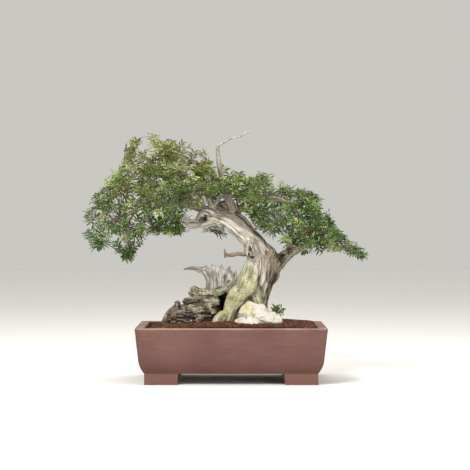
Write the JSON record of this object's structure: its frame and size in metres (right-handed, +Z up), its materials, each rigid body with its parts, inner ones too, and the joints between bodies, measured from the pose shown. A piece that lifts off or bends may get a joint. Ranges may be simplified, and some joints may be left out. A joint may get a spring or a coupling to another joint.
{
  "type": "mastic tree bonsai",
  "caption": "Leaning bonsai tree with a flared root base, an old dead stump and bleached dead branches, a spreading crown of small compound leaves and a pale rock, in a rectangular clay pot.",
  "frame": {"origin": "middle of the outline seen from above, on the plane that the pot's feet stand on", "axes": "+X along the pot's long side, to the right seen from the front; +Y from front to back; +Z up"},
  "size_m": [0.7036, 0.3194, 0.598],
  "materials": {
    "clay": "matte",
    "grit": "matte",
    "wood": "matte",
    "leaves": "satin",
    "limestone": "matte",
    "net": "matte"
  },
  "bodies": {
    "root": {"drain_net_left": "net", "drain_net_right": "net", "pot": "clay", "rock": "limestone", "root_shoot": "leaves", "soil": "grit", "spray_01": "leaves", "spray_02": "leaves", "spray_03": "leaves", "spray_04": "leaves", "spray_05": "leaves", "spray_06": "leaves", "spray_07": "leaves", "spray_08": "leaves", "spray_09": "leaves", "spray_10": "leaves", "spray_11": "leaves", "spray_12": "leaves", "spray_13": "leaves", "spray_14": "leaves", "spray_15": "leaves", "spray_16": "leaves", "spray_17": "leaves", "spray_18": "leaves", "spray_19": "leaves", "spray_20": "leaves", "spray_21": "leaves", "spray_22": "leaves", "spray_23": "leaves", "spray_24": "leaves", "spray_25": "leaves", "spray_26": "leaves", "spray_27": "leaves", "spray_28": "leaves", "spray_29": "leaves", "spray_30": "leaves", "spray_31": "leaves", "spray_32": "leaves", "spray_33": "leaves", "spray_34": "leaves", "spray_35": "leaves", "spray_36": "leaves", "spray_37": "leaves", "spray_38": "leaves", "spray_39": "leaves", "spray_40": "leaves", "spray_41": "leaves", "spray_42": "leaves", "spray_43": "leaves", "spray_44": "leaves", "spray_45": "leaves", "spray_46": "leaves", "spray_47": "leaves", "spray_48": "leaves", "tree": "wood"}
  },
  "joints": []
}
